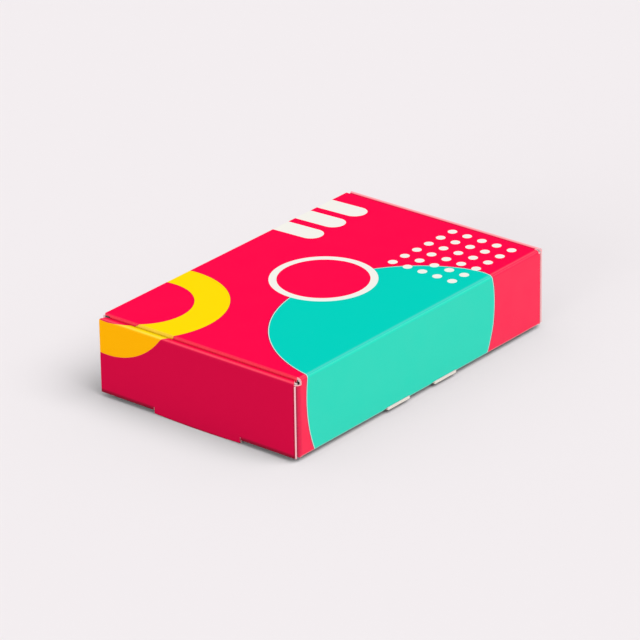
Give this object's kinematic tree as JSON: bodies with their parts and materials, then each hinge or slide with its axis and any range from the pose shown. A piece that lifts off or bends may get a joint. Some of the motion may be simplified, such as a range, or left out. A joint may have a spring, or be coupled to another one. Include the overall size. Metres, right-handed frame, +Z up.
{
  "type": "mailer box",
  "caption": "Flat mailer box folded from thin fluted board, with rolled-over side walls and a hinged lid whose ears and front flap tuck into the tray.",
  "frame": {"origin": "middle of the box on the surface that it stands on, under its two lock tongues", "axes": "+X along the length, towards the side wall on the right when the back is faced; -Y towards the back wall, where the lid is hinged; +Z up, out through the lid"},
  "size_m": [0.22, 0.1405, 0.0486],
  "materials": {
    "printed_board": "satin red print on a white-lined fluted board",
    "printed_back_board": "satin turquoise and red print on a white-lined fluted board",
    "white_board": "matt white liner"
  },
  "bodies": {
    "tray": {"base_panel": "white_board", "back_wall": "printed_back_board", "front_wall": "printed_board", "back_dust_flap_left": "printed_board", "back_dust_flap_right": "printed_board", "front_dust_flap_left": "printed_board", "front_dust_flap_right": "printed_board", "outer_side_wall_left": "printed_board", "outer_side_wall_right": "printed_board", "roll_over_strip_left": "printed_board", "roll_over_strip_right": "printed_board", "inner_side_wall_left": "white_board", "inner_side_wall_right": "white_board"},
    "lid": {"lid_panel": "printed_board"},
    "left_ear": {"lid_ear_left": "printed_board"},
    "right_ear": {"lid_ear_right": "printed_board"},
    "tuck_flap": {"lid_tuck_flap": "printed_board"}
  },
  "joints": [
    {"name": "lid_hinge", "type": "hinge", "parent": "tray", "child": "lid", "pos_m": [0, -0.06952, 0.04812], "axis": [1, 0, 0], "range_deg": [0, 200]},
    {"name": "left_ear_fold", "type": "hinge", "parent": "lid", "child": "left_ear", "pos_m": [-0.1039, 0, 0.0473], "axis": [0, -1, 0], "range_deg": [0, 85]},
    {"name": "right_ear_fold", "type": "hinge", "parent": "lid", "child": "right_ear", "pos_m": [0.1039, 0, 0.0473], "axis": [0, 1, 0], "range_deg": [0, 85]},
    {"name": "tuck_flap_fold", "type": "hinge", "parent": "lid", "child": "tuck_flap", "pos_m": [0, 0.0671, 0.0473], "axis": [-1, 0, 0], "range_deg": [0, 80]}
  ]
}
